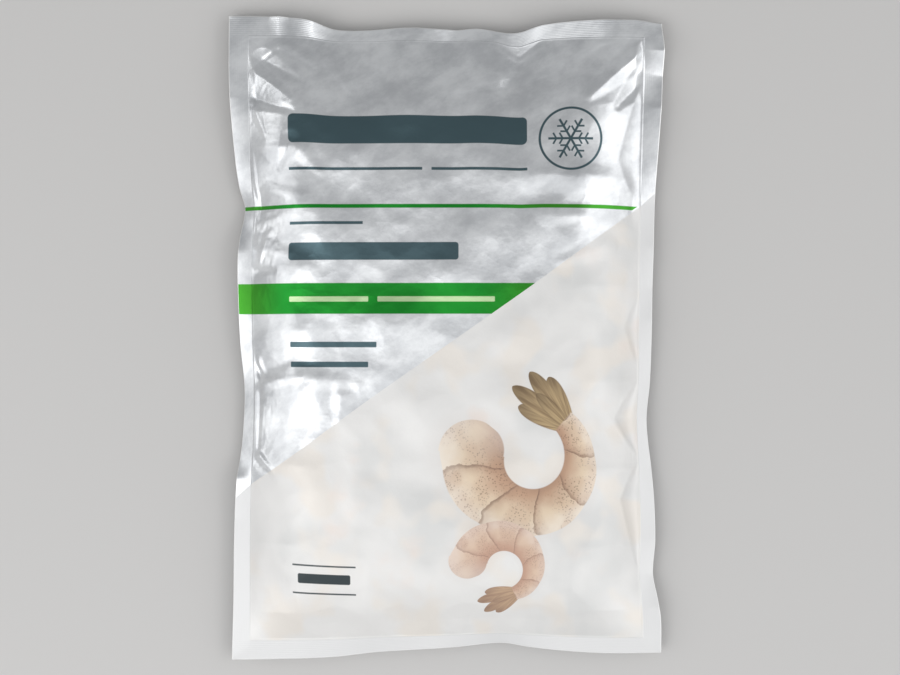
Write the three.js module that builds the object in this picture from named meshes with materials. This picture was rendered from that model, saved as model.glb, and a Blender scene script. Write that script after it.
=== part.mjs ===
// A sealed 1 kg pouch of frozen shrimp, lying on its back with the printed side up.
// Millimetres, +Z up, +Y towards the pouch's top seal, +X to its right.
// The origin is on the surface that the pouch lies on, below the middle of its outline.
//
// The pouch starts as the flat rectangle that its two films were cut to. Each point of that rectangle
// has flat coordinates (u, v). The filling draws the four edges in, and lifts the front film
// off the back film everywhere inside the welded border.
import * as THREE from "three";

const POUCH_WIDTH = 240;
const POUCH_LENGTH = 355;
const BORDER_THICKNESS = 0.8;
const EDGE_BLEND = 0.5;
const CROWN_HEIGHT = 33;
const CROWN_FALL = 0.2;
const TOP_END_DROP = 5;
const TOP_END_SPAN = 95;
const ROUNDNESS = 2.2;

// Cells across the width and along the length, and how strongly they crowd towards the border.
const CELLS_ACROSS = 40;
const CELLS_ALONG = 62;
const CROWDING = 0.24;

// How far the films run in from a seal before they reach full height: at a pucker, and how much more
// for each millimetre between two puckers.
const FRONT_RUN = 38;
const BACK_RUN = 22;
const FACET_SHARE = 0.18;
const FACET_BOW = 1.7;
const FRONT_FACETS = 1;
const BACK_FACETS = 0.5;

// The border is lowest at the corners, and its outer edge mostly hangs below the seal line.
const SEAL_LINE_HEIGHT = 9.5;
const CORNER_SEAL_HEIGHT = 7;
const CORNER_SHARPNESS = 4;

// The seal line follows this share of the draw-in of the edge beside it, and further in it fades out
// over this share of the half width or half length.
const SEAL_LINE_SHARE = 0.4;
const DRAW_IN_REACH = 0.6;

// Each side of the pouch, by position along it in flat coordinates:
// pull      how far the edge is drawn in,
// edge      the height of the cut edge above the surface,
// puckers   where the front film gathers against the seal,
// run       extra distance that the film takes to rise,
// dip       where the seal line runs inwards in a V: its place, half width and depth.
const LEFT = {
  seal: 11,
  run: 0,
  pull: [[-177, 1.7], [-145, 2.5], [-106, 3], [-78, 4.4], [-56, 7.2], [-29, 8.5], [-1, 6.1],
    [38, 5], [54, 6.1], [71, 8.6], [83, 5.5], [98, 3.3], [137, 0.3], [177, 0]],
  edge: [[-177, 6], [-140, 7], [-100, 7], [-77, 8.5], [-66, 4.5], [-26, 5.5], [0, 7], [48, 9.5],
    [72, 4], [100, 6], [132, 8.5], [145, 8], [177, 6.5]],
  puckers: [-177, -150, -112, -69, -29, 4, 39, 73, 104, 129, 147, 177],
};
const RIGHT = {
  seal: 12,
  run: 1,
  pull: [[-174, 1.6], [-156, 1.9], [-145, 3.6], [-131, 6.1], [-112, 5], [-90, 5.5], [-70, 7.2],
    [-56, 9], [-43, 9.8], [-23, 7.7], [21, 6.6], [76, 5], [120, 2.2], [159, 0], [177, 1.2]],
  edge: [[-177, 6.5], [-150, 8], [-131, 6], [-112, 7.5], [-71, 6], [-43, 7.5], [-24, 6], [10, 8],
    [28, 6.5], [50, 8], [74, 6], [100, 8], [128, 9.5], [146, 5.5], [160, 9.5], [177, 7]],
  puckers: [-177, -150, -114, -71, -24, 28, 73, 128, 150, 177],
};
const TOP = {
  seal: 12,
  run: 15,
  pull: [[-120, 0], [-95, 0.5], [-78, 2.2], [-62, 7.7], [-45, 8.3], [-20, 6.6], [4, 8.2], [17, 7.2],
    [38, 10], [54, 5.5], [79, 2.8], [104, 2.2], [120, 4.2]],
  edge: [[-120, 7], [-98, 7.5], [-92, 10.5], [-86, 8], [-73, 11.5], [-62, 8.5], [-20, 8], [0, 10],
    [7, 8], [28, 8], [47, 11.5], [56, 10.8], [84, 10.2], [94, 8.2], [120, 7]],
  puckers: [-120, -90, -70, -20, 40, 89, 120],
  dip: [40, 12, 8],
};
const BOTTOM = {
  seal: 12,
  run: 6,
  pull: [[-120, 0], [-95, 0.5], [-62, 1.7], [-37, 4.4], [5, 7.2], [30, 9.4], [46, 7.2], [63, 5.5],
    [88, 3.9], [120, 3.9]],
  edge: [[-120, 5.5], [-80, 7], [-42, 6], [-8, 7.5], [29, 6], [68, 8], [120, 6]],
  puckers: [-120, -81, -42, -8, 30, 68, 120],
};

// Large folds of the slack front film, as ridges (+) and valleys (-) from one flat point to another,
// each with two straight flanks. From its start to its end a fold narrows and flattens by FOLD_TAPER.
// Folds reach their full height FOLD_ONSET inside the seal line.
const FOLD_TAPER = 0.6;
const FOLD_ONSET = 4;
const FOLDS = [
  { from: [-70, 162], to: [-51, 136], half: 6, height: 1.6 },
  { from: [-110, 149], to: [-85, 131], half: 7, height: 2.4 },
  { from: [-107, 132], to: [-85, 124], half: 7, height: -2.6 },
  { from: [-101, 153], to: [-82, 142], half: 7, height: -1.8 },
  { from: [41, 153], to: [27, 130], half: 9, height: -1.6 },
  { from: [107, 158], to: [78, 132], half: 9, height: 3.4 },
  { from: [108, 142], to: [94, 127], half: 8, height: -2.6 },
  { from: [-109, 72], to: [-88, 72], half: 11, height: -2.2 },
  { from: [-109, 48], to: [-88, 46], half: 12, height: 2.2 },
  { from: [-105, -19], to: [-86, -11], half: 8, height: -2.2 },
  { from: [-84, -20], to: [-48, -25], half: 8, height: 1 },
];

// The frozen shrimp press broad soft bumps into the film: one for each cell of a loose grid,
// of uneven height and reach.
const BUMP_COLUMNS = 5;
const BUMP_ROWS = 8;
const BUMP_FIELD_WIDTH = 211;
const BUMP_FIELD_LENGTH = 320;
const BUMP_HEIGHT = 1.5;
const LOWEST_BUMP = 0.75;
const BUMP_REACH = 21;
const BUMP_REACH_SPREAD = 5;

const HALF_WIDTH = POUCH_WIDTH / 2;
const HALF_LENGTH = POUCH_LENGTH / 2;

const clamp01 = (t) => Math.min(1, Math.max(0, t));
const smooth = (t) => clamp01(t) ** 2 * (3 - 2 * clamp01(t));
const mix = (a, b, t) => a + (b - a) * t;

// A smooth curve through stations [position, value], level at its ends.
function through(stations, position) {
  const last = stations.length - 1;
  if (position <= stations[0][0]) return stations[0][1];
  if (position >= stations[last][0]) return stations[last][1];
  const i = stations.findIndex((s, k) => k < last && position < stations[k + 1][0]);
  const slopeAt = (k) => {
    if (k === 0 || k === last) return 0;
    return (stations[k + 1][1] - stations[k - 1][1]) / (stations[k + 1][0] - stations[k - 1][0]);
  };
  const [start, low] = stations[i];
  const [end, high] = stations[i + 1];
  const span = end - start;
  const t = (position - start) / span;
  const bend = slopeAt(i) * span * (t - 2 * t * t + t ** 3) + slopeAt(i + 1) * span * (t ** 3 - t * t);
  return mix(low, high, t * t * (3 - 2 * t)) + bend;
}

// Straight lines through stations [position, value].
function straightThrough(stations, position) {
  const next = stations.findIndex((s) => position <= s[0]);
  if (next === 0) return stations[0][1];
  if (next < 0) return stations[stations.length - 1][1];
  const [start, low] = stations[next - 1];
  const [end, high] = stations[next];
  return mix(low, high, (position - start) / (end - start));
}

// The tilted facet between two puckers: 0 at a pucker, and most half way between two.
function facetDepth(puckers, position) {
  const i = puckers.findIndex((p, k) => k > 0 && position <= p);
  if (i < 0) return 0;
  const gap = puckers[i] - puckers[i - 1];
  const t = (position - puckers[i - 1]) / gap;
  return FACET_SHARE * gap * (1 - Math.abs(2 * t - 1) ** FACET_BOW);
}

// The rise of a film from its seal line (0) to its full height (1).
function rise(distance, run) {
  return 1 - (1 - clamp01(distance / run)) ** ROUNDNESS;
}

// The width of a side's seal at a place along it.
function sealWidth({ seal, dip = [0, 1, 0] }, along) {
  const [middle, half, depth] = dip;
  return seal + depth * clamp01(1 - Math.abs(along - middle) / half);
}

// The four sides as seen from a flat point: the distance to the cut edge, the place along it, and the
// width of the seal there.
function sidesAt(u, v) {
  const seen = (side, inward, along) => ({ side, inward, along, seal: sealWidth(side, along) });
  return [
    seen(LEFT, u + HALF_WIDTH, v),
    seen(RIGHT, HALF_WIDTH - u, v),
    seen(TOP, HALF_LENGTH - v, u),
    seen(BOTTOM, v + HALF_LENGTH, u),
  ];
}

// How full the pouch is at a flat point: 0 in the welded border, 1 over the filling.
function fullness(u, v, run, facets) {
  return sidesAt(u, v).reduce((full, { side, inward, along, seal }) => {
    const reach = run + side.run + facets * facetDepth(side.puckers, along);
    return full * rise(inward - seal, reach);
  }, 1);
}

// The level at which the two films are welded, carried inwards from the four sides: the nearer a
// side, the more it counts.
function weldHeight(u, v) {
  const corner = Math.abs((u / HALF_WIDTH) * (v / HALF_LENGTH)) ** CORNER_SHARPNESS;
  const sealLine = mix(SEAL_LINE_HEIGHT, CORNER_SEAL_HEIGHT, corner);
  let total = 0;
  let weights = 0;
  for (const { side, inward, along, seal } of sidesAt(u, v)) {
    const weight = 1 / (inward + EDGE_BLEND) ** 2;
    total += weight * mix(straightThrough(side.edge, along), sealLine, clamp01(inward / seal));
    weights += weight;
  }
  return total / weights;
}

// Whole-number noise, the same on every run: 0 to 1 for a row, a column and a purpose.
function draw(column, row, purpose) {
  const seed = Math.sin(column * 127.1 + row * 311.7 + purpose * 74.7) * 43758.5453;
  return seed - Math.floor(seed);
}

function fillingBumps(u, v) {
  let height = 0;
  for (let column = 0; column < BUMP_COLUMNS; column++) {
    for (let row = 0; row < BUMP_ROWS; row++) {
      const x = ((column + draw(column, row, 1)) / BUMP_COLUMNS - 0.5) * BUMP_FIELD_WIDTH;
      const y = ((row + draw(column, row, 2)) / BUMP_ROWS - 0.5) * BUMP_FIELD_LENGTH;
      const reach = BUMP_REACH + BUMP_REACH_SPREAD * (2 * draw(column, row, 3) - 1);
      const away = Math.hypot(u - x, v - y) / reach;
      height += mix(LOWEST_BUMP, BUMP_HEIGHT, draw(column, row, 4)) * (1 - smooth(away));
    }
  }
  return height;
}

function foldRelief(u, v) {
  const insideSeal = Math.min(...sidesAt(u, v).map(({ inward, seal }) => inward - seal));
  const relief = FOLDS.reduce((height, fold) => {
    const [x0, y0] = fold.from;
    const dx = fold.to[0] - x0;
    const dy = fold.to[1] - y0;
    const length = Math.hypot(dx, dy);
    const t = clamp01(((u - x0) * dx + (v - y0) * dy) / length ** 2);
    const left = 1 - FOLD_TAPER * t;
    const away = Math.hypot(u - x0 - t * dx, v - y0 - t * dy) / (fold.half * left);
    return height + fold.height * left * Math.max(0, 1 - away);
  }, 0);
  return relief * clamp01(insideSeal / FOLD_ONSET);
}

function frontHeight(u, v) {
  const weld = weldHeight(u, v) + BORDER_THICKNESS / 2;
  const dome = (1 - (u / HALF_WIDTH) ** 2) * (1 - (v / HALF_LENGTH) ** 2);
  const topEnd = smooth(1 - (HALF_LENGTH - v) / TOP_END_SPAN);
  const crown = CROWN_HEIGHT * (1 - CROWN_FALL * (1 - dome)) - TOP_END_DROP * topEnd;
  const filled = crown + fillingBumps(u, v) - BUMP_HEIGHT;
  return mix(weld, filled, fullness(u, v, FRONT_RUN, FRONT_FACETS)) + foldRelief(u, v);
}

function backHeight(u, v) {
  return (weldHeight(u, v) - BORDER_THICKNESS / 2) * (1 - fullness(u, v, BACK_RUN, BACK_FACETS));
}

// How far a point is drawn in with a side, by its distance from the cut edge of that side.
function drawIn({ side, inward, along, seal }, reach) {
  const inBorder = 1 - clamp01(inward / seal);
  const beyond = smooth(1 - Math.max(inward - seal, 0) / reach);
  return through(side.pull, along) * mix(SEAL_LINE_SHARE * beyond, 1, inBorder);
}

// Where a flat point lies in plan once the edges have been drawn in.
function planPosition(u, v) {
  const [left, right, top, bottom] = sidesAt(u, v);
  const across = DRAW_IN_REACH * HALF_WIDTH;
  const along = DRAW_IN_REACH * HALF_LENGTH;
  return [
    u + drawIn(left, across) - drawIn(right, across),
    v + drawIn(bottom, along) - drawIn(top, along),
  ];
}

// Crowds evenly spaced steps (-1 to 1) towards the border, where the form changes fastest.
const crowd = (step) => step + CROWDING * Math.sin(Math.PI * step);

function makePouch() {
  const shape = new THREE.BoxGeometry(2, 2, 2, CELLS_ACROSS, CELLS_ALONG, 1);
  const points = shape.getAttribute("position");
  for (let i = 0; i < points.count; i++) {
    const u = crowd(points.getX(i)) * HALF_WIDTH;
    const v = crowd(points.getY(i)) * HALF_LENGTH;
    const [x, y] = planPosition(u, v);
    const z = points.getZ(i) > 0 ? frontHeight(u, v) : backHeight(u, v);
    points.setXYZ(i, x, y, z);
  }
  shape.computeVertexNormals();
  const film = new THREE.MeshStandardMaterial({ color: 0xdcdfe2, roughness: 0.38, metalness: 0.25 });
  const pouch = new THREE.Mesh(shape, film);
  pouch.name = "pouch";
  return pouch;
}

const model = new THREE.Group();
model.add(makePouch());

export default model;
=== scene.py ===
"""A sealed 1 kg pouch of frozen shrimp, lying on its back: its films, welded border, puckers and print.

The pouch is worked out in its flat frame, as it was cut before filling: millimetres, u to the right and
v towards the top seal. MM turns these into Blender's metres. The welded solid of the frame has the same
named sizes, and the film made here stands for it.
"""
import math

import bmesh
import bpy
import numpy as np
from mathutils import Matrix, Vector, noise


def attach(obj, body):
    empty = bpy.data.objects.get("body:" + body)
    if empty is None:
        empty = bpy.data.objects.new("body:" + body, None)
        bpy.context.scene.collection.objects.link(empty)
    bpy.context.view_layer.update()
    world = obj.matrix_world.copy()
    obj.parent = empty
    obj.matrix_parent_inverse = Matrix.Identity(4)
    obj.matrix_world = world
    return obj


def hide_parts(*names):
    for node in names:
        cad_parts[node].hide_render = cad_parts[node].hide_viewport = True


MM = 0.001

# ---- the pouch's sizes, in millimetres ----
POUCH_WIDTH = 240
POUCH_LENGTH = 355
HALF_WIDTH = POUCH_WIDTH / 2
HALF_LENGTH = POUCH_LENGTH / 2
BORDER_THICKNESS = 0.5
CROWN_HEIGHT = 33
CROWN_FALL = 0.2
TOP_END_DROP = 5
TOP_END_SPAN = 95
ROUNDNESS = 2.2
FRONT_RUN = 38
BACK_RUN = 22
FACET_SHARE = 0.18
FACET_BOW = 1.7
FRONT_FACETS = 1
BACK_FACETS = 0.5
SEAL_LINE_HEIGHT = 9.5
CORNER_SEAL_HEIGHT = 7
CORNER_SHARPNESS = 4
SEAL_LINE_SHARE = 0.4
DRAW_IN_REACH = 0.6
EDGE_BLEND = 0.5

# Each side of the pouch.
# seal: the width of its welded border, run: the extra distance that the film takes to rise from it.
# pull: how far the edge is drawn in, edge: its height above the floor, both by place along the side.
# puckers: where the front film gathers against the seal.
# dip: where the seal line runs inwards in a V: its place, half width and depth.
LEFT = {
    "seal": 11,
    "run": 0,
    "pull": [(-177, 1.7), (-145, 2.5), (-106, 3), (-78, 4.4), (-56, 7.2), (-29, 8.5), (-1, 6.1),
             (38, 5), (54, 6.1), (71, 8.6), (83, 5.5), (98, 3.3), (137, 0.3), (177, 0)],
    "edge": [(-177, 6), (-140, 7), (-100, 7), (-77, 8.5), (-66, 4.5), (-26, 5.5), (0, 7), (48, 9.5),
             (72, 4), (100, 6), (132, 8.5), (145, 8), (177, 6.5)],
    "puckers": [-177, -150, -112, -69, -29, 4, 39, 73, 104, 129, 147, 177],
}
RIGHT = {
    "seal": 12,
    "run": 1,
    "pull": [(-174, 1.6), (-156, 1.9), (-145, 3.6), (-131, 6.1), (-112, 5), (-90, 5.5), (-70, 7.2),
             (-56, 9), (-43, 9.8), (-23, 7.7), (21, 6.6), (76, 5), (120, 2.2), (159, 0), (177, 1.2)],
    "edge": [(-177, 6.5), (-150, 8), (-131, 6), (-112, 7.5), (-71, 6), (-43, 7.5), (-24, 6), (10, 8),
             (28, 6.5), (50, 8), (74, 6), (100, 8), (128, 9.5), (146, 5.5), (160, 9.5), (177, 7)],
    "puckers": [-177, -150, -114, -71, -24, 28, 73, 128, 150, 177],
}
TOP = {
    "seal": 12,
    "run": 15,
    "pull": [(-120, 0), (-95, 0.5), (-78, 2.2), (-62, 7.7), (-45, 8.3), (-20, 6.6), (4, 8.2), (17, 7.2),
             (38, 10), (54, 5.5), (79, 2.8), (104, 2.2), (120, 4.2)],
    "edge": [(-120, 7), (-98, 7.5), (-92, 10.5), (-86, 8), (-73, 11.5), (-62, 8.5), (-20, 8), (0, 10),
             (7, 8), (28, 8), (47, 11.5), (56, 10.8), (84, 10.2), (94, 8.2), (120, 7)],
    "puckers": [-120, -90, -70, -20, 40, 89, 120],
    "dip": (40, 12, 8),
}
BOTTOM = {
    "seal": 12,
    "run": 6,
    "pull": [(-120, 0), (-95, 0.5), (-62, 1.7), (-37, 4.4), (5, 7.2), (30, 9.4), (46, 7.2), (63, 5.5),
             (88, 3.9), (120, 3.9)],
    "edge": [(-120, 5.5), (-80, 7), (-42, 6), (-8, 7.5), (29, 6), (68, 8), (120, 6)],
    "puckers": [-120, -81, -42, -8, 30, 68, 120],
}

# Large folds of the slack front film: from, to, half width, height. They narrow towards their end.
FOLD_TAPER = 0.6
FOLD_ONSET = 4
FOLDS = [
    ((-70, 162), (-51, 136), 6, 1.6),
    ((-110, 149), (-85, 131), 7, 2.4),
    ((-107, 132), (-85, 124), 7, -2.6),
    ((-101, 153), (-82, 142), 7, -1.8),
    ((41, 153), (27, 130), 9, -1.6),
    ((107, 158), (78, 132), 9, 3.4),
    ((108, 142), (94, 127), 8, -2.6),
    ((-109, 72), (-88, 72), 11, -2.2),
    ((-109, 48), (-88, 46), 12, 2.2),
    ((-105, -19), (-86, -11), 8, -2.2),
    ((-84, -20), (-48, -25), 8, 1),
]

# Smaller creases that only the film has, given in the same way.
CREASES = [
    # top left corner
    ((-89, 162), (-71, 150), 4.5, 1.2),
    ((-94, 158), (-108, 147), 2.2, -0.6),
    ((-70, 161), (-58, 145), 2, -0.8),
    ((-105, 124), (-100, 111), 4, 0.9),
    ((-108, 127), (-107, 119), 2.2, -1),
    ((-109, 102), (-106, 76), 2.5, 1.1),
    ((-80, 102), (-69, 90), 7, 0.8),
    ((-98, 80), (-76, 77), 6, 0.6),
    ((-85, 108), (-92, 92), 6, -1.2),
    # left side
    ((-99, 57), (-104, 42), 4, 0.6),
    ((-108, 36), (-96, 37), 3.5, -1.8),
    ((-103, -25), (-81, -21), 4, 1.6),
    ((-108, -12), (-104, -26), 2.2, -1.3),
    ((-106, -13), (-101, -23), 2.2, 1.1),
    ((-57, -31), (-59, -44), 7, 1.2),
    ((-106, -30), (-106, -61), 3, -1),
    ((-105, -64), (-96, -73), 2.4, 1.8),
    ((-107, -68), (-97, -75), 2.4, -1.6),
    # top right corner and the silver below it
    ((88, 162), (74, 154), 3, -0.6),
    ((62, 145), (4, 134), 8, -1.2),
    ((50, 89), (104, 86), 13, 1.7),
    ((107, 71), (68, 73), 13, -2),
    ((55, 67), (76, 66), 8, 1.2),
    ((88, 50), (62, 41), 8, 1),
    # both sides of the dip in the top seal
    ((29, 163), (40, 156), 2.5, 1),
    ((52, 163), (41, 156), 2.5, 1),
]

# The shallow dents between two puckers, along the bottom.
DENT = {"depth": 1.3, "from_seal": 9, "across": 10, "share": 0.47, "full_gap": 45, "rounding": 1.5}

# The facets that sink in along the right side, each behind a crisp crease that bends inwards: from, to,
# the place of the crease's bend, how far in that is, and how hollow the facet is (1: straight).
SUNK_FACETS = [
    (140, 72, 98, 13, 1.35),
    (22, -14, 6, 8, 1.6),
    (-25, -63, -44, 13, 1.8),
    (-69, -128, -88, 11, 1.7),
]
SUNK_FACET_BOW = 0.75

# The slight unevenness of the whole film: sizes and heights, and how much stronger it is on the back.
UNEVEN = {"swell": 24, "swell_height": 0.62, "crease": 17, "crease_height": 0.45,
          "crease_shift": (7, 3, 0), "onset": 10, "on_back": 1.6}

# Where the film is slack and crumples: middle u, middle v, reach across, reach along, slack.
CRUMPLES = [
    (-98, 130, 18, 45, 0.017),
    (-100, 55, 14, 50, 0.024),
    (-100, -45, 12, 40, 0.014),
    (0, 152, 110, 12, 0.008),
    (102, -60, 12, 110, 0.008),
    (0, -158, 110, 10, 0.008),
]

# The filling's bumps, and the factors that scatter them.
BUMP_COLUMNS = 5
BUMP_ROWS = 8
BUMP_FIELD_WIDTH = 211
BUMP_FIELD_LENGTH = 320
BUMP_HEIGHT = 1.5
LOWEST_BUMP = 0.75
BUMP_REACH = 21
BUMP_REACH_SPREAD = 5
DRAW_FACTORS = (127.1, 311.7, 74.7)
DRAW_SPREAD = 43758.5453

# ---- the film's mesh ----
CELLS_ACROSS = 216
CELLS_ALONG = 318
CROWDING = 0.16
CUT_TOLERANCE = 0.05
# How far in from the cut edge the rings of points of the back film lie.
BACK_RINGS = (0, 4, 8, 11, 13, 15, 17.5, 20, 23, 26, 30, 36)
# The film settles on a coarse grid, then on a fine one: rows, columns, rounds, first unevenness in mm.
SETTLING = [
    (107, 73, 120, 0.5),
    (319, 217, 60, 0.12),
]
SETTLING_SEED = 11
# The first unevenness has one point for so many of the grid, and is full from this slack on.
ROUGH_STEP = 3
FULL_SLACK = 0.02
# The film is held up to this far inside the seal line.
HELD_TO = 0.5
# How strongly a point is drawn back to its designed place, what share of its speed it keeps, and how
# strong the slanting links and the links that keep the film from folding sharply are.
HOLD = 0.012
GLIDE = 0.8
SLANTING = 0.5
STIFFNESS = 0.12
# Keeps a link of no length from dividing by zero.
TINY = 1e-9

# ---- the print, in flat millimetres ----
EDGE_SOFTNESS = 0.35
DIAGONAL_SLOPE = 0.7
DIAGONAL_OFFSET = -3.9
RULE = {"centre": 71.1, "half": 1.05, "gap": 1.2}
BAND = {"low": 13.0, "high": 29.6, "lime_right": (15, 62), "lime_left": (88, 112), "lime_share": 0.8}
BAR_ROUNDING = 0.35

# Plain bars where such a pack has its words: left, right, low, high.
INK_BARS = [
    (-86.5, 43.5, 106, 122),
    (-86.5, -13, 91, 92.6),
    (-8, 43.5, 91, 92.6),
    (-87, -45, 61.2, 62.8),
    (-87, 6.5, 42, 51.5),
    (-86.3, -37.5, -5, -2),
    (-86.3, -42, -15.7, -12.7),
]
BAND_BARS = [(-86.5, -42, 19.6, 22.4), (-37, 26, 19.6, 22.4)]
# The weight mark leans about its pivot.
WEIGHT_MARK = {"bars": [(-84, -49, -123.9, -123), (-81, -52, -133.5, -128), (-84, -49, -139.5, -138.6)],
               "pivot": 66, "lean": 0.06}
SNOWFLAKE = {"u": 67.6, "v": 108.5, "ring": 17.2, "line": 0.65, "arm": 0.65, "reach": 12.5,
             "twigs": (4.5, 8), "twig": 0.5, "twig_reach": 3.6}

# ---- the drawn shrimp ----
# Middle u, middle v, turn, size, mirrored (-1) or not, and how pink they are.
SHRIMP_PLACES = [
    (45, -65, 2.45, 1.6, 1, 0),
    (30, -126, 0.35, 0.95, -1, 0.35),
]
# The part of the window that carries them: its middle, and half its width and length.
PICTURE = {"u": 40, "v": -87, "across": 66, "along": 76}
# PLATES lie along the body, with a JOINT, a dark line, between two. A pair says where a soft step begins
# and ends, a share how strong a layer of colour is, and a fade how much of that it loses in the light.
SHRIMP = {"arc": 0.74, "radius": 20, "tightening": 2.5, "half": 11.5, "tail_half": 4.2, "taper": 1.25,
          "head_turn": 0.6, "end_cut": 60, "clear_end": (0, 0.22), "clear_share": 0.3}
PLATES = {"count": 6, "bow": 0.18, "lean": 0.12, "waver": 0.3, "scallop": 0.24, "begin": (0.07, 0.11)}
FLESH = {"light_waver": 0.35, "cream": (0.05, 0.62), "pale": (0.55, 1), "overlap": (0, 0.34),
         "overlap_share": 0.55, "overlap_fade": 0.45, "rim": 2.2, "rim_share": 0.6}
JOINT = {"half": 0.3, "at": 0.02, "scale": 9, "softness": 0.5, "fade": 0.5, "share": 0.75}
SPECKS = {"waves": 1.25, "size": (0.2, 0.42), "fade": 0.4, "share": 0.62,
          "shift": 40, "patches": (0.42, 0.58), "patch_share": 0.28}
# Blades: lean, length and half width.
TAIL = {"overlap": 4.5, "root": 0.01, "swell": 0.7, "fall": 3, "breadth": 1.6, "streaks": (22, 0.12),
        "streak_step": (0.35, 0.62), "dark": (0.4, 1), "dark_share": 0.55, "rim": 0.9, "rim_share": 0.6,
        "blades": [(-0.36, 21, 2.9), (0.36, 20, 2.9), (-0.15, 26, 2.9), (0.15, 25, 2.9), (0, 18, 2.2)]}
SHADOW = {"spread": 1.5, "end": 1.05, "fall": 8, "softness": 4, "share": 0.22}

# ---- finishes: colours are scene-linear ----
# A deeper and a paler silver: painted shade and painted highlight in the silver's streaks of sheen.
SILVER_PAINTED_SHADE = (0.66, 0.675, 0.695, 1)
SILVER_PAINTED_SHEEN = (0.93, 0.945, 0.96, 1)
TEAL_INK = (0.085, 0.14, 0.16, 1)
GREEN_INK = (0.014, 0.30, 0.03, 1)
LIME_INK = (0.075, 0.38, 0.03, 1)
PALE_GREEN_INK = (0.60, 0.80, 0.45, 1)
WEIGHT_INK = (0.03, 0.045, 0.05, 1)
FROSTED_WHITE = (0.835, 0.825, 0.81, 1)
# The grey is painted shade in the gaps between the shrimp behind the window.
FROSTED_SHADE_GREY = (0.73, 0.73, 0.72, 1)
FROSTED_CREAM = (0.845, 0.80, 0.745, 1)
FROSTED_PEACH = (0.855, 0.765, 0.705, 1)
WELDED_WHITE = (0.785, 0.785, 0.785, 1)
SHRIMP_TAN = (0.53, 0.335, 0.225, 1)
SHRIMP_CREAM = (0.77, 0.62, 0.46, 1)
SHRIMP_PALE = (0.88, 0.79, 0.68, 1)
SHRIMP_SHADE = (0.42, 0.26, 0.18, 1)
SHRIMP_BLUSH = (0.66, 0.42, 0.35, 1)
SHRIMP_LINE = (0.17, 0.10, 0.07, 1)
SHRIMP_TAIL = (0.30, 0.205, 0.11, 1)
SHRIMP_TAIL_PALE = (0.52, 0.38, 0.21, 1)
SHRIMP_TAIL_DARK = (0.10, 0.065, 0.035, 1)
CUT_EDGE = {"width": 0.5, "colour": (0.93, 0.93, 0.92, 1)}

# Depths are in metres, all other lengths in millimetres.
RIBS = {"width": 11.5, "softness": 1, "pitch": 1.1, "on_sides": 0.4, "stiffening": 0.75,
        "depth": 0.000014}
SEAL_LINE = {"half": 0.7, "depth": 0.00005}
CRINKLE = {"sway_u": 18, "sway_v": 14, "facets": 0.11, "facet_share": 0.8, "fine_share": 0.5,
           "depth": 0.00025}
# The painted sheen on the silver, slanting streaks of painted highlight and painted shade: across and
# along them as shares of u and v, and the step of their tones.
PAINTED_SHEEN = {"slant": [(-0.5, 0.9), (0.55, 0.3)], "step": (0.3, 0.7)}
# The patches behind the window: their noise, its shift in u and v, its step, their share and colour. The
# cream and peach ones are the shrimp through the milky film; the grey ones are painted shade in the gaps
# between them.
PATCHES = [
    ("painted shade patches", 210, -90, (0.46, 0.68), 0.9, FROSTED_SHADE_GREY),
    ("cream patches", 0, 0, (0.5, 0.64), 0.9, FROSTED_CREAM),
    ("peach patches", -160, 330, (0.58, 0.76), 0.7, FROSTED_PEACH),
]
# Soft noises: waves for each millimetre, detail and roughness.
NOISE = {
    "crinkle sway": (0.045, 3, 0.5),
    "fine crinkle": (0.22, 4, 0.55),
    "painted sheen": (0.055, 5, 0.64),
    "painted shade patches": (0.019, 3, 0.5),
    "cream patches": (0.036, 2, 0.4),
    "peach patches": (0.03, 3, 0.5),
    "shrimp flank": (0.16, 3, 0.5),
    "speck patches": (0.075, 2, 0.5),
    "tail streaks": (0.5, 2, 0.5),
}

# ---- the photograph's frame ----
FRAME_WIDTH_PX = 900
PX = 0.553
SEAL_LEVEL = 4
LENS_MM = 65
SENSOR_MM = 36
POUCH_CENTRE_PX = (446.5, 338.0)
FRAME_CENTRE_PX = (450.0, 337.5)

# ---- the studio, in metres ----
FLOOR = {"size": 3, "height": -0.0002, "colour": (0.62, 0.61, 0.6, 1), "roughness": 0.8}
SKY = {"colour": (0.97, 0.985, 1, 1), "strength": 0.38}
# Area lights: name, place, the point they face, width and length, and watts.
LIGHTS = [
    ("panel_above", (0, -1.1, 1.6), (0, -1.1, 0), (4.8, 2.4), 23.5),
    ("softbox_left", (-0.65, -0.42, 0.95), (0, 0, 0), (0.7, 0.7), 2.3),
    ("panel_left", (-1.9, -0.2, 0.9), (0, 0, 0), (2.2, 0.8), 5.6),
    ("panel_right", (1.8, -0.3, 1.05), (0, 0, 0), (3.0, 1.6), 15.5),
]


# ---- the form of the filled pouch, over flat coordinates ----

def smooth(t):
    """0 to 1, level at both ends."""
    t = np.clip(t, 0, 1)
    return t * t * (3 - 2 * t)


def mix(a, b, t):
    return a + (b - a) * t


def through(stations, position):
    """A smooth curve through stations (position, value), level at its ends."""
    at, value = np.array(stations, float).T
    slope = np.zeros_like(value)
    slope[1:-1] = (value[2:] - value[:-2]) / (at[2:] - at[:-2])
    i = np.clip(np.searchsorted(at, position, side="right") - 1, 0, len(at) - 2)
    span = at[i + 1] - at[i]
    t = np.clip((position - at[i]) / span, 0, 1)
    bend = slope[i] * span * (t - 2 * t**2 + t**3) + slope[i + 1] * span * (t**3 - t**2)
    return mix(value[i], value[i + 1], t * t * (3 - 2 * t)) + bend


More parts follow.
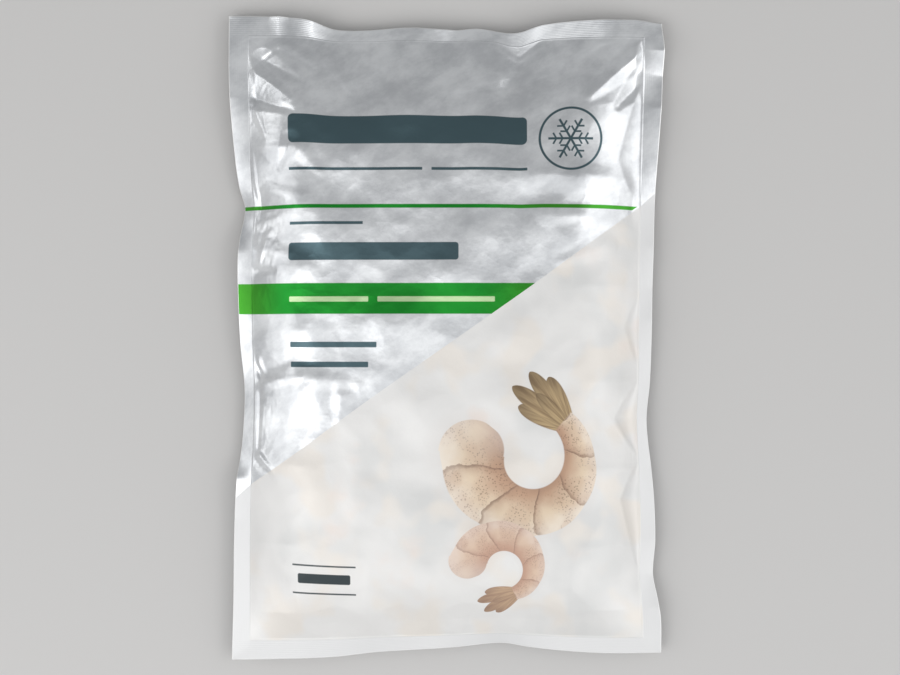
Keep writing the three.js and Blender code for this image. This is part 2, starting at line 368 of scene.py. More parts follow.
def facet_depth(puckers, position):
    """The tilted facet between two puckers: 0 at a pucker, and most half way between two."""
    at = np.array(puckers, float)
    i = np.clip(np.searchsorted(at, position, side="left"), 1, len(at) - 1)
    gap = at[i] - at[i - 1]
    t = np.clip((position - at[i - 1]) / gap, 0, 1)
    return FACET_SHARE * gap * (1 - np.abs(2 * t - 1) ** FACET_BOW)


def rise(distance, run):
    """The rise of a film from its seal line (0) to its full height (1)."""
    return 1 - (1 - np.clip(distance / run, 0, 1)) ** ROUNDNESS


def seal_width(side, along):
    middle, half, depth = side.get("dip", (0, 1, 0))
    return side["seal"] + depth * np.clip(1 - np.abs(along - middle) / half, 0, 1)


def sides_at(u, v):
    """The four sides as seen from a flat point: the distance to the cut edge, the place along it and
    the width of the seal there."""
    seen = (
        (LEFT, u + HALF_WIDTH, v),
        (RIGHT, HALF_WIDTH - u, v),
        (TOP, HALF_LENGTH - v, u),
        (BOTTOM, v + HALF_LENGTH, u),
    )
    return [(side, inward, along, seal_width(side, along)) for side, inward, along in seen]


def fullness(u, v, run, facets):
    """How full the pouch is at a flat point: 0 in the welded border, 1 over the filling."""
    full = np.ones_like(u)
    for side, inward, along, seal in sides_at(u, v):
        reach = run + side["run"] + facets * facet_depth(side["puckers"], along)
        full = full * rise(inward - seal, reach)
    return full


def weld_height(u, v):
    """The level at which the two films are welded, carried inwards from the four sides."""
    corner = np.abs(u / HALF_WIDTH * v / HALF_LENGTH) ** CORNER_SHARPNESS
    seal_line = mix(SEAL_LINE_HEIGHT, CORNER_SEAL_HEIGHT, corner)
    total = np.zeros_like(u)
    weights = np.zeros_like(u)
    for side, inward, along, seal in sides_at(u, v):
        weight = 1 / (inward + EDGE_BLEND) ** 2
        edge_height = np.interp(along, *np.array(side["edge"], float).T)
        level = mix(edge_height, seal_line, np.clip(inward / seal, 0, 1))
        total += weight * level
        weights += weight
    return total / weights


def draw(column, row, purpose):
    """A scattered number, the same on every run: 0 to 1 for a column, a row and a purpose."""
    by_column, by_row, by_purpose = DRAW_FACTORS
    seed = math.sin(column * by_column + row * by_row + purpose * by_purpose) * DRAW_SPREAD
    return seed - math.floor(seed)


def filling_bumps(u, v):
    """The broad soft bumps that the frozen shrimp press into the film."""
    height = np.zeros_like(u)
    for column in range(BUMP_COLUMNS):
        for row in range(BUMP_ROWS):
            right, up, wide, high = (draw(column, row, purpose) for purpose in (1, 2, 3, 4))
            x = ((column + right) / BUMP_COLUMNS - 0.5) * BUMP_FIELD_WIDTH
            y = ((row + up) / BUMP_ROWS - 0.5) * BUMP_FIELD_LENGTH
            reach = mix(BUMP_REACH - BUMP_REACH_SPREAD, BUMP_REACH + BUMP_REACH_SPREAD, wide)
            away = np.hypot(u - x, v - y) / reach
            height += mix(LOWEST_BUMP, BUMP_HEIGHT, high) * (1 - smooth(away))
    return height


def fold_relief(u, v, folds):
    """Ridges and valleys with two straight flanks, that begin just inside the seal line."""
    height = np.zeros_like(u)
    for (x0, y0), (x1, y1), half, crest in folds:
        dx, dy = x1 - x0, y1 - y0
        t = np.clip(((u - x0) * dx + (v - y0) * dy) / (dx * dx + dy * dy), 0, 1)
        tapered = 1 - FOLD_TAPER * t
        away = np.hypot(u - x0 - t * dx, v - y0 - t * dy) / (half * tapered)
        height += crest * tapered * np.maximum(0, 1 - away)
    return height * np.clip(inside_seal(u, v) / FOLD_ONSET, 0, 1)


def dents(u, v):
    height = np.zeros_like(u)
    out = np.abs(v + HALF_LENGTH - BOTTOM["seal"] - DENT["from_seal"]) / DENT["across"]
    for start, end in zip(BOTTOM["puckers"][1:], BOTTOM["puckers"][2:-1]):
        aside = np.abs(u - (start + end) / 2) / (DENT["share"] * (end - start))
        depth = DENT["depth"] * min(1, (end - start) / DENT["full_gap"])
        height -= depth * np.maximum(0, 1 - out ** DENT["rounding"] - aside ** DENT["rounding"])
    return height


def inside_seal(u, v):
    """How far a flat point lies inside the seal line."""
    return np.min([inward - seal for _, inward, _, seal in sides_at(u, v)], axis=0)


def unevenness(u, v):
    """The film's slight unevenness: broad swells, and fainter creased ones."""
    height = np.zeros_like(u)
    for place in np.ndindex(u.shape):
        at = Vector((u[place], v[place], 0))
        swell = noise.noise(at / UNEVEN["swell"])
        crease = abs(noise.noise(at / UNEVEN["crease"] + Vector(UNEVEN["crease_shift"])))
        height[place] = swell * UNEVEN["swell_height"] - crease * UNEVEN["crease_height"]
    return height * np.clip(inside_seal(u, v) / UNEVEN["onset"], 0, 1)


def front_height(u, v):
    weld = weld_height(u, v) + BORDER_THICKNESS / 2
    dome = (1 - (u / HALF_WIDTH) ** 2) * (1 - (v / HALF_LENGTH) ** 2)
    top_end = smooth(1 - (HALF_LENGTH - v) / TOP_END_SPAN)
    crown = CROWN_HEIGHT * (1 - CROWN_FALL * (1 - dome)) - TOP_END_DROP * top_end
    filled = crown + filling_bumps(u, v) - BUMP_HEIGHT
    return mix(weld, filled, fullness(u, v, FRONT_RUN, FRONT_FACETS)) + fold_relief(u, v, FOLDS)


def back_height(u, v):
    return (weld_height(u, v) - BORDER_THICKNESS / 2) * (1 - fullness(u, v, BACK_RUN, BACK_FACETS))


def draw_in(side, inward, along, seal, reach):
    """How far a point is drawn in with a side, by its distance from the cut edge of that side."""
    in_border = 1 - np.clip(inward / seal, 0, 1)
    beyond = smooth(1 - np.maximum(inward - seal, 0) / reach)
    return through(side["pull"], along) * mix(SEAL_LINE_SHARE * beyond, 1, in_border)


def plan_position(u, v):
    """Where a flat point lies in plan once the edges have been drawn in."""
    left, right, top, bottom = sides_at(u, v)
    across = DRAW_IN_REACH * HALF_WIDTH
    along = DRAW_IN_REACH * HALF_LENGTH
    x = u + draw_in(*left, across) - draw_in(*right, across)
    y = v + draw_in(*bottom, along) - draw_in(*top, along)
    return x, y


# ---- the settling of the film: where it has slack, it buckles ----

def crowd(step):
    """Crowds evenly spaced steps (-1 to 1) towards the border, where the form changes fastest."""
    return step + CROWDING * np.sin(np.pi * step)


def flat_grid(rows, columns):
    u = crowd(np.linspace(-1, 1, columns)) * HALF_WIDTH
    v = crowd(np.linspace(-1, 1, rows)) * HALF_LENGTH
    return np.meshgrid(u, v)


def creased_height(u, v):
    return front_height(u, v) + fold_relief(u, v, CREASES) + dents(u, v) + unevenness(u, v)


def creased_back(u, v):
    """The back film: flat on the table, and uneven where it runs up to the border."""
    lifted = 1 - fullness(u, v, BACK_RUN, BACK_FACETS)
    return np.maximum(back_height(u, v) + unevenness(u, v) * lifted * UNEVEN["on_back"], 0)


def designed_front(u, v):
    """The front film before it settles."""
    x, y = plan_position(u, v)
    z = creased_height(u, v)
    from_seal = HALF_WIDTH - RIGHT["seal"] - u
    for start, end, bend, extent, hollow in SUNK_FACETS:
        beside = np.minimum((v - end) / (bend - end), (start - v) / (start - bend)).clip(0, 1)
        crease = extent * beside**SUNK_FACET_BOW
        sunk = (from_seal > 0) & (from_seal < crease)
        share = from_seal[sunk] / crease[sunk]
        at_seal = creased_height(u[sunk] + from_seal[sunk], v[sunk])
        at_crease = creased_height(u[sunk] + from_seal[sunk] - crease[sunk], v[sunk])
        z[sunk] = mix(at_seal, at_crease, share**hollow)
    return np.stack([x, y, z], axis=-1)


def slack_at(u, v):
    slack = np.zeros_like(u)
    for middle_u, middle_v, across, along, most in CRUMPLES:
        away = np.hypot((u - middle_u) / across, (v - middle_v) / along)
        slack = np.maximum(slack, most * (1 - smooth(away)))
    return slack


def resampled(field, rows, columns):
    """A grid of values on another number of rows and columns."""
    for axis, count in ((0, rows), (1, columns)):
        place = np.linspace(0, field.shape[axis] - 1, count)
        first = np.minimum(place.astype(int), field.shape[axis] - 2)
        share = (place - first).reshape([-1 if a == axis else 1 for a in range(field.ndim)])
        field = mix(field.take(first, axis), field.take(first + 1, axis), share)
    return field


def links_of(start, held, slack):
    """Pairs of neighbouring points with their free length, in sets in which no point occurs twice."""
    rows, columns = held.shape
    sets = []
    for down, right, strength, only_push in (
        (1, 0, 1, False), (0, 1, 1, False), (1, 1, SLANTING, False), (1, -1, SLANTING, False),
        (2, 0, STIFFNESS, True), (0, 2, STIFFNESS, True),
    ):
        step = down or right
        for phase in (0, 1):
            i = np.arange(rows - down)
            j = np.arange(max(-right, 0), columns - max(right, 0))
            if down:
                i = i[i // step % 2 == phase]
            else:
                j = j[j // step % 2 == phase]
            a = np.ix_(i, j)
            b = np.ix_(i + down, j + right)
            free = np.linalg.norm(start[a] - start[b], axis=-1) * (1 + (slack[a] + slack[b]) / 2)
            yields = np.where(held[a], 0.0, 1.0), np.where(held[b], 0.0, 1.0)
            both = np.maximum(yields[0] + yields[1], 1)
            shares = [(y / both * strength)[..., None] for y in yields]
            sets.append((a, b, free[..., None], shares, only_push))
    return sets


def settle(rows, columns, rounds, roughness, moved, generator):
    """Lets the slack film buckle on one grid, and returns how far each point has moved."""
    u, v = flat_grid(rows, columns)
    start = designed_front(u, v)
    held = inside_seal(u, v) < HELD_TO
    free_to_move = ~held[..., None]
    slack = slack_at(u, v)
    if moved is None:
        move = np.zeros_like(start)
    else:
        move = resampled(moved, rows, columns) * free_to_move
    rough = generator.standard_normal((rows // ROUGH_STEP, columns // ROUGH_STEP))
    loose = (slack / FULL_SLACK).clip(0, 1) * ~held
    move[..., 2] += resampled(rough, rows, columns) * roughness * loose
    sets = links_of(start, held, slack)
    place = start + move
    speed = np.zeros_like(place)
    for _ in range(rounds):
        before = place.copy()
        place += (speed * GLIDE + (start - place) * HOLD) * free_to_move
        for a, b, free, shares, only_push in sets:
            apart = place[b] - place[a]
            now = np.linalg.norm(apart, axis=-1, keepdims=True) + TINY
            change = 1 - free / now
            if only_push:
                change = np.minimum(change, 0)
            apart *= change
            place[a] += apart * shares[0]
            place[b] -= apart * shares[1]
        speed = place - before
    return place - start


def settled_moves():
    generator = np.random.default_rng(SETTLING_SEED)
    moved = None
    for rows, columns, rounds, roughness in SETTLING:
        moved = settle(rows, columns, rounds, roughness, moved, generator)
    return moved


def sampled(grid, u, v):
    """The values of a grid over the flat film at scattered flat points."""
    rows, columns = grid.shape[:2]
    grid_u, grid_v = flat_grid(rows, columns)
    at_column = np.interp(u, grid_u[0], np.arange(columns))
    at_row = np.interp(v, grid_v[:, 0], np.arange(rows))
    j = np.minimum(at_column.astype(int), columns - 2)
    i = np.minimum(at_row.astype(int), rows - 2)
    across = (at_column - j)[:, None]
    along = (at_row - i)[:, None]
    low = mix(grid[i, j], grid[i, j + 1], across)
    high = mix(grid[i + 1, j], grid[i + 1, j + 1], across)
    return mix(low, high, along)


# ---- the film's mesh ----

def flat_sheets():
    """The two films lying flat, welded at the border: the front at z = 1 and the back at z = -1."""
    sheets = bmesh.new()
    bmesh.ops.create_grid(sheets, x_segments=CELLS_ACROSS, y_segments=CELLS_ALONG, size=1)
    for point in sheets.verts:
        point.co = (crowd(point.co.x) * HALF_WIDTH, crowd(point.co.y) * HALF_LENGTH, 1)
    bmesh.ops.bisect_plane(
        sheets,
        geom=sheets.verts[:] + sheets.edges[:] + sheets.faces[:],
        plane_co=(0, DIAGONAL_OFFSET, 1),
        plane_no=(-DIAGONAL_SLOPE, 1, 0),
        dist=CUT_TOLERANCE,
    )
    open_edges = [e for e in sheets.edges if e.is_boundary]
    inset_before = 0
    for ring, inset in enumerate(BACK_RINGS):
        made = bmesh.ops.extrude_edge_only(sheets, edges=open_edges)["geom"]
        points = [g for g in made if isinstance(g, bmesh.types.BMVert)]
        open_edges = [g for g in made if isinstance(g, bmesh.types.BMEdge)]
        if ring == 0:
            bmesh.ops.translate(sheets, verts=points, vec=(0, 0, -2))
        else:
            across = (HALF_WIDTH - inset) / (HALF_WIDTH - inset_before)
            along = (HALF_LENGTH - inset) / (HALF_LENGTH - inset_before)
            bmesh.ops.scale(sheets, verts=points, vec=(across, along, 1))
        inset_before = inset
    bmesh.ops.contextual_create(sheets, geom=open_edges)
    bmesh.ops.recalc_face_normals(sheets, faces=sheets.faces)
    return sheets


def fill_with_shrimp(sheets):
    """Moves the sheets' points to their places in the filled pouch. The UV map keeps the flat places."""
    flat = np.array([p.co for p in sheets.verts])
    u, v, front = flat[:, 0], flat[:, 1], flat[:, 2] > 0
    x, y = plan_position(u, v)
    back = np.stack([x, y, creased_back(u, v)], axis=-1)
    settled = designed_front(u, v) + sampled(settled_moves(), u, v)
    filled = np.where(front[:, None], settled, back)
    flat_map = sheets.loops.layers.uv.new("flat")
    finishes = list(FINISHES)
    for face in sheets.faces:
        face.material_index = finishes.index(finish_of(face))
        face.smooth = True
        for corner in face.loops:
            place = corner.vert.co
            corner[flat_map].uv = (place.x / POUCH_WIDTH + 0.5, place.y / POUCH_LENGTH + 0.5)
    for point, place in zip(sheets.verts, filled * MM):
        point.co = place


def finish_of(face):
    """Which film a face of the flat sheets is cut from."""
    if any(p.co.z < 0 for p in face.verts):
        return "plain_back"
    middle = face.calc_center_median()
    if middle.y > middle.x * DIAGONAL_SLOPE + DIAGONAL_OFFSET:
        return "printed_silver"
    across = abs(middle.x - PICTURE["u"])
    along = abs(middle.y - PICTURE["v"])
    if across < PICTURE["across"] and along < PICTURE["along"]:
        return "pictured_window"
    return "frosted_window"


# ---- numbers that vary over the film, as shader nodes ----

class Field:
    """A number that varies over the surface. Arithmetic on it adds the Math nodes that work it out."""

    def __init__(self, tree, socket):
        self.tree = tree
        self.socket = socket

    def math(self, operation, *others):
        node = self.tree.nodes.new("ShaderNodeMath")
        node.operation = operation
        for place, value in zip(node.inputs, (self, *others)):
            feed(self.tree, place, value)
        return Field(self.tree, node.outputs[0])

    def __add__(self, other):
        return self.math("ADD", other)

    def __sub__(self, other):
        return self.math("SUBTRACT", other)

    def __rsub__(self, other):
        return (-self).math("ADD", other)

    def __mul__(self, other):
        return self.math("MULTIPLY", other)

    def __truediv__(self, other):
        return self.math("DIVIDE", other)

    def __neg__(self):
        return self.math("MULTIPLY", -1)

    def __abs__(self):
        return self.math("ABSOLUTE")

    def __pow__(self, other):
        return self.math("POWER", other)

    __radd__ = __add__
    __rmul__ = __mul__

    def at_least(self, other):
        return self.math("MAXIMUM", other)

    def at_most(self, other):
        return self.math("MINIMUM", other)

    def held_in_range(self):
        return self.at_least(0).at_most(1)

    def from_to(self, low, high):
        """0 below low, 1 above high, and a smooth step between."""
        node = self.tree.nodes.new("ShaderNodeMapRange")
        node.interpolation_type = "SMOOTHSTEP"
        for place, value in zip(node.inputs, (self, low, high)):
            feed(self.tree, place, value)
        return Field(self.tree, node.outputs[0])


def feed(tree, place, value):
    """Links a field or a socket to an input, or writes a plain value there."""
    if isinstance(value, Field):
        value = value.socket
    if isinstance(value, bpy.types.NodeSocket):
        tree.links.new(value, place)
    else:
        place.default_value = value


def length(x, y):
    return (x * x + y * y).math("SQRT")


def edge(distance, softness=EDGE_SOFTNESS):
    """A crisp edge: 1 where the distance inside a shape, in millimetres, is positive."""
    return (distance / softness + 0.5).held_in_range()


def together(masks):
    """The mask of several shapes together."""
    whole, *others = masks
    for mask in others:
        whole = whole.at_least(mask)
    return whole


def blend(tree, mask, under, over):
    """The colour under, covered by the colour over where the mask is 1."""
    node = tree.nodes.new("ShaderNodeMix")
    node.data_type = "RGBA"
    node.clamp_factor = True
    for name, value in (("Factor_Float", mask), ("A_Color", under), ("B_Color", over)):
        feed(tree, next(i for i in node.inputs if i.identifier == name), value)
    return next(o for o in node.outputs if o.identifier == "Result_Color")


def texture(tree, kind, x, y, gives, **settings):
    """What a texture gives at a place in millimetres."""
    place = tree.nodes.new("ShaderNodeCombineXYZ")
    feed(tree, place.inputs[0], x)
    feed(tree, place.inputs[1], y)
    node = tree.nodes.new("ShaderNodeTex" + kind)
    feed(tree, node.inputs["Vector"], place.outputs[0])
    for label, value in settings.items():
        node.inputs[label].default_value = value
    return Field(tree, node.outputs[gives])


def noise_field(tree, x, y, name):
    """The soft noise of that name in NOISE."""
    waves, detail, roughness = NOISE[name]
    return texture(tree, "Noise", x, y, "Fac", Scale=waves, Detail=detail, Roughness=roughness)


def dot_field(tree, x, y, waves):
    """Distance to the nearest of many scattered dots, in units of their spacing."""
    return texture(tree, "Voronoi", x, y, "Distance", Scale=waves)


def new_group(name, inputs):
    """A new shader node group, and its number inputs as fields."""
    group = bpy.data.node_groups.new(name, "ShaderNodeTree")
    for label, value in inputs.items():
        made = group.interface.new_socket(label, in_out="INPUT", socket_type="NodeSocketFloat")
        made.default_value = value
    entry = group.nodes.new("NodeGroupInput")
    return group, {label: Field(group, entry.outputs[label]) for label in inputs}


def put_out(group, **values):
    """Gives a group its outputs: a field is a number, and a socket is a colour."""
    for label, value in values.items():
        kind = "NodeSocketFloat" if isinstance(value, Field) else "NodeSocketColor"
        group.interface.new_socket(label.replace("_", " "), in_out="OUTPUT", socket_type=kind)
    leave = group.nodes.new("NodeGroupOutput")
    for place, value in zip(leave.inputs, values.values()):
        feed(group, place, value)
    return group


def use_group(tree, group, **values):
    """Places a group in a material with its own values, and returns what it puts out, by label."""
    node = tree.nodes.new("ShaderNodeGroup")
    node.node_tree = group
    for label, value in values.items():
        feed(tree, node.inputs[label.replace("_", " ")], value)
    return {socket.name: Field(tree, socket) for socket in node.outputs}


# ---- shared effects ----

def flat_place_group():
    """The flat place of a point of the film, in millimetres from the pouch's middle."""
    group, _ = new_group("flat place", {})
    flat_map = group.nodes.new("ShaderNodeUVMap")
    flat_map.uv_map = "flat"
    apart = group.nodes.new("ShaderNodeSeparateXYZ")
    feed(group, apart.inputs[0], flat_map.outputs[0])
    u = (Field(group, apart.outputs[0]) - 0.5) * POUCH_WIDTH
    v = (Field(group, apart.outputs[1]) - 0.5) * POUCH_LENGTH
    return put_out(group, u=u, v=v)


def bar_group():
    """A bar with rounded corners."""
    inputs = {"u": 0, "v": 0, "left": 0, "right": 1, "low": 0, "high": 1}
    group, at = new_group("rounded bar", inputs)
    half_width = (at["right"] - at["left"]) * 0.5
    half_height = (at["high"] - at["low"]) * 0.5
    corner = half_height.at_most(half_width) * BAR_ROUNDING
    across = (abs(at["u"] - (at["left"] + at["right"]) * 0.5) - half_width + corner).at_least(0)
    along = (abs(at["v"] - (at["low"] + at["high"]) * 0.5) - half_height + corner).at_least(0)
    return put_out(group, mask=edge(corner - length(across, along)))


def ribs_group():
    """The fine parallel ribs that the sealing jaws press into the welded border."""
    group, at = new_group("seal ribs", {"u": 0, "v": 0})
    waves = 2 * math.pi / RIBS["pitch"]
    begin, end = RIBS["width"] - RIBS["softness"], RIBS["width"]
    from_side = HALF_WIDTH - abs(at["u"])
    from_end = HALF_LENGTH - abs(at["v"])
    on_side = 1 - from_side.from_to(begin, end)
    on_end = 1 - from_end.from_to(begin, end)
    end_ribs = (at["v"] * waves).math("SINE") * on_end
    side_ribs = (at["u"] * waves).math("SINE") * on_side * (1 - on_end) * RIBS["on_sides"]
    from_edge = from_side.at_most(from_end)
    return put_out(
        group,
        height=end_ribs + side_ribs,
        line=(1 - abs(from_edge - RIBS["width"]) / SEAL_LINE["half"]).at_least(0),
        weld=on_side.at_least(on_end),
        cut_edge=edge(CUT_EDGE["width"] - from_edge),
    )


def crinkle_group():
    """The fine crinkle of stiff film: soft facets with creases between them."""
    group, at = new_group("film crinkle", {"u": 0, "v": 0, "amount": 1})
    u, v = at["u"], at["v"]
    sway = noise_field(group, u, v, "crinkle sway")
    swayed = u + sway * CRINKLE["sway_u"], v - sway * CRINKLE["sway_v"]
    facets = dot_field(group, *swayed, CRINKLE["facets"]) * CRINKLE["facet_share"]
    fine = noise_field(group, u, v, "fine crinkle") * CRINKLE["fine_share"]
    return put_out(group, height=(facets + fine) * at["amount"])


def painted_sheen_group():
    """Painted sheen on the silver film: soft slanting streaks of painted shade in a deeper silver and
    painted highlight in a paler one.
    """
    group, at = new_group("sheen streaks painted on silver", {"u": 0, "v": 0})
    across, along = (at["u"] * by_u + at["v"] * by_v for by_u, by_v in PAINTED_SHEEN["slant"])
    cloud = noise_field(group, across, along, "painted sheen").from_to(*PAINTED_SHEEN["step"])
    return put_out(group, colour=blend(group, cloud, SILVER_PAINTED_SHADE, SILVER_PAINTED_SHEEN))


def blotches_group():
    """The frozen shrimp behind the frosted window: soft cream patches in milky film, with grey patches
    of painted shade in the gaps between them.
    """
    group, at = new_group("frozen blotches and painted shade", {"u": 0, "v": 0})
    colour = FROSTED_WHITE
    for name, shift_u, shift_v, step, share, tint in PATCHES:
        patch = noise_field(group, at["u"] + shift_u, at["v"] + shift_v, name).from_to(*step)
        colour = blend(group, patch * share, colour, tint)
    return put_out(group, colour=colour)


def snowflake_group():
    """A plain six-armed snowflake in a ring."""
    group, at = new_group("snowflake", {"u": 0, "v": 0})
    x = at["u"] - SNOWFLAKE["u"]
    y = at["v"] - SNOWFLAKE["v"]
    out = length(x, y)
    # One arm repeated six times: the angle is folded into half of a sixth of a turn.
    sixth = math.pi / 3
    turn = y.math("ARCTAN2", x) + math.pi + sixth / 2
    folded = abs(turn.math("MODULO", sixth) - sixth / 2)
    along = out * folded.math("COSINE")
    aside = out * folded.math("SINE")
    ring = edge(SNOWFLAKE["line"] - abs(out - SNOWFLAKE["ring"]))
    arm = edge(SNOWFLAKE["arm"] - aside) * edge(SNOWFLAKE["reach"] - along)
    shapes = [ring, arm]
    for root in SNOWFLAKE["twigs"]:
        # A twig leaves the arm at 60 degrees.
        far = (along - root) * math.sin(sixth) - aside * math.cos(sixth)
        up = (along - root) * math.cos(sixth) + aside * math.sin(sixth)
        shapes.append(edge(SNOWFLAKE["twig"] - abs(far)) * edge(up) * edge(SNOWFLAKE["twig_reach"] - up))
    return put_out(group, mask=together(shapes))


def shrimp_flesh(group, x, y, lit, plate, plated, inside):
    """The body's colour: pink-tan inside the curl, cream along the flank, and pale where it is lit."""
    colour = blend(group, lit.from_to(*FLESH["cream"]), SHRIMP_TAN, SHRIMP_CREAM)
    colour = blend(group, lit.from_to(*FLESH["pale"]), colour, SHRIMP_PALE)
    overlap = (1 - plate.from_to(*FLESH["overlap"])) * FLESH["overlap_share"]
    overlap = overlap * (1 - lit * FLESH["overlap_fade"]) * plated
    colour = blend(group, overlap, colour, SHRIMP_SHADE)
    joint = edge(JOINT["half"] - abs(plate - JOINT["at"]) * JOINT["scale"], JOINT["softness"])
    joint = joint * (1 - lit * JOINT["fade"]) * plated
    colour = blend(group, joint * JOINT["share"], colour, SHRIMP_LINE)
    specks = 1 - dot_field(group, x, y, SPECKS["waves"]).from_to(*SPECKS["size"])
    patches = noise_field(group, x + SPECKS["shift"], y, "speck patches").from_to(*SPECKS["patches"])
    colour = blend(group, patches * SPECKS["patch_share"], colour, SHRIMP_TAN)
    specks = specks * patches * (1 - lit * SPECKS["fade"]) * SPECKS["share"]
    colour = blend(group, specks, colour, SHRIMP_LINE)
    rim = 1 - (inside / FLESH["rim"]).held_in_range()
    return blend(group, rim * (1 - lit) * FLESH["rim_share"], colour, SHRIMP_SHADE)


def shrimp_tail(group, x, y):
    """The tail fan, which carries on along the curl's tangent: its mask and its colour."""
    end = 2 * math.pi * SHRIMP["arc"]
    reach = SHRIMP["radius"] - SHRIMP["tightening"]
    tail_x = x - reach * math.cos(end)
    tail_y = y - reach * math.sin(end)
    forth = tail_y * math.cos(end) - tail_x * math.sin(end) + TAIL["overlap"]
    aside = tail_x * math.cos(end) + tail_y * math.sin(end)
    bearing = aside.math("ARCTAN2", forth.at_least(TAIL["root"]))
    across, along = TAIL["streaks"]
    streak = noise_field(group, bearing * across, forth * along, "tail streaks")
    streaked = blend(group, streak.from_to(*TAIL["streak_step"]), SHRIMP_TAIL, SHRIMP_TAIL_PALE)
    colour = SHRIMP_TAIL
    blades = []
    for lean, blade_length, blade_half in TAIL["blades"]:
        run = forth * math.cos(lean) + aside * math.sin(lean)
        off = aside * math.cos(lean) - forth * math.sin(lean)
        t = (run / blade_length).held_in_range()
        swell = ((t ** TAIL["swell"]) * (1 - t ** TAIL["fall"])).math("SQRT")
        width = swell * blade_half * TAIL["breadth"]
        shade = blend(group, t.from_to(*TAIL["dark"]) * TAIL["dark_share"], streaked, SHRIMP_TAIL_DARK)
        rim = 1 - ((width - abs(off)) / TAIL["rim"]).held_in_range()
        shade = blend(group, rim * TAIL["rim_share"], shade, SHRIMP_TAIL_DARK)
        blades.append(edge(width - abs(off) - EDGE_SOFTNESS) * edge(run))
        colour = blend(group, blades[-1], colour, shade)
    return together(blades), colour


def shrimp_group():
    """A drawn shrimp, peeled with its tail on, curled round its own middle.

    along runs from 0 at the thick end to 1 at the tail, and across from -1 inside the curl to 1 outside.
    """
    inputs = {"u": 0, "v": 0, "middle u": 0, "middle v": 0, "turn": 0, "size": 1, "mirror": 1}
    group, at = new_group("curled shrimp", inputs)
    du = (at["u"] - at["middle u"]) / at["size"]
    dv = (at["v"] - at["middle v"]) / at["size"]
    cosine = at["turn"].math("COSINE")
    sine = at["turn"].math("SINE")
    x = (du * cosine + dv * sine) * at["mirror"]
    y = dv * cosine - du * sine
    out = length(x, y)
    turned = (y.math("ARCTAN2", x) / (2 * math.pi) + 1).math("FRACT")
    along = turned / SHRIMP["arc"]
    part = along.held_in_range()
    middle = SHRIMP["radius"] - part * SHRIMP["tightening"]
    half = SHRIMP["half"] - (part ** SHRIMP["taper"]) * (SHRIMP["half"] - SHRIMP["tail_half"])
    across = (out - middle) / half

    flank = noise_field(group, x, y, "shrimp flank")
    lit = (across * 0.5 + 0.5 + (flank - 0.5) * FLESH["light_waver"]).held_in_range()
    plates = part * PLATES["count"] - across * across * PLATES["bow"] + across * PLATES["lean"]
    plate = (plates + (flank - 0.5) * PLATES["waver"]).math("FRACT")
    scallop = (plate - 0.5) * (plate - 0.5) * (across * 0.5 + 0.5).held_in_range() * PLATES["scallop"]
    # The thick end is round: up to head_turn the outline is a circle.
    head_x = x - SHRIMP["radius"] * math.cos(SHRIMP["head_turn"])
    head_y = y - SHRIMP["radius"] * math.sin(SHRIMP["head_turn"])
    from_head = length(head_x, head_y)
    on_head = turned.math("LESS_THAN", SHRIMP["head_turn"] / (2 * math.pi))
    flanks = (1 - abs(across) - scallop) * half
    inside = (half - from_head) * on_head + flanks * (1 - on_head)
    body = edge(inside) * edge((1 - along) * SHRIMP["end_cut"])

    flesh = shrimp_flesh(group, x, y, lit, plate, part.from_to(*PLATES["begin"]), inside)
    fan, fan_colour = shrimp_tail(group, x, y)
    see_through = (1 - part.from_to(*SHRIMP["clear_end"])) * SHRIMP["clear_share"]
    spread = half * SHADOW["spread"]
    end_of_shadow = edge((SHADOW["end"] - along) * SHADOW["fall"], SHADOW["softness"])
    curl_shadow = (1 - (abs(out - middle) / spread).held_in_range()) * end_of_shadow
    head_shadow = 1 - from_head / (SHRIMP["half"] * SHADOW["spread"])
    return put_out(
        group,
        mask=(body * (1 - see_through)).at_least(fan),
        colour=blend(group, fan * (1 - body), flesh, fan_colour),
        shadow=(curl_shadow * (1 - on_head)).at_least(head_shadow),
    )


def make_effects():
    return {
        "place": flat_place_group(),
        "bar": bar_group(),
        "ribs": ribs_group(),
        "crinkle": crinkle_group(),
        "painted sheen": painted_sheen_group(),
        "blotches": blotches_group(),
        "snowflake": snowflake_group(),
        "shrimp": shrimp_group(),
    }


# ---- materials: what colours each film, and what all films share ----

def bars(tree, effects, u, v, places):
    """The mask of several plain bars together."""
    return together(
        use_group(tree, effects["bar"], u=u, v=v, left=left, right=right, low=low, high=high)["mask"]
        for left, right, low, high in places
    )


def plain_silver(tree, effects, u, v):
    # Silver with its painted sheen: streaks of painted shade and painted highlight.
    return use_group(tree, effects["painted sheen"], u=u, v=v)["colour"]


def printed_silver(tree, effects, u, v):
    """Above the diagonal: pearly silver with its painted sheen, and dark teal and green inks."""
    above = v - u * DIAGONAL_SLOPE - DIAGONAL_OFFSET
    rule = edge(RULE["half"] - abs(v - RULE["centre"])) * edge(above - RULE["gap"])
    band = edge((v - BAND["low"]).at_most(BAND["high"] - v))
    lime = u.from_to(*BAND["lime_right"]).at_least((-u).from_to(*BAND["lime_left"]))
    green = blend(tree, lime * BAND["lime_share"], GREEN_INK, LIME_INK)
    colour = blend(tree, rule.at_least(band), plain_silver(tree, effects, u, v), green)
    colour = blend(tree, bars(tree, effects, u, v, BAND_BARS), colour, PALE_GREEN_INK)
    flake = use_group(tree, effects["snowflake"], u=u, v=v)["mask"]
    return blend(tree, bars(tree, effects, u, v, INK_BARS).at_least(flake), colour, TEAL_INK)


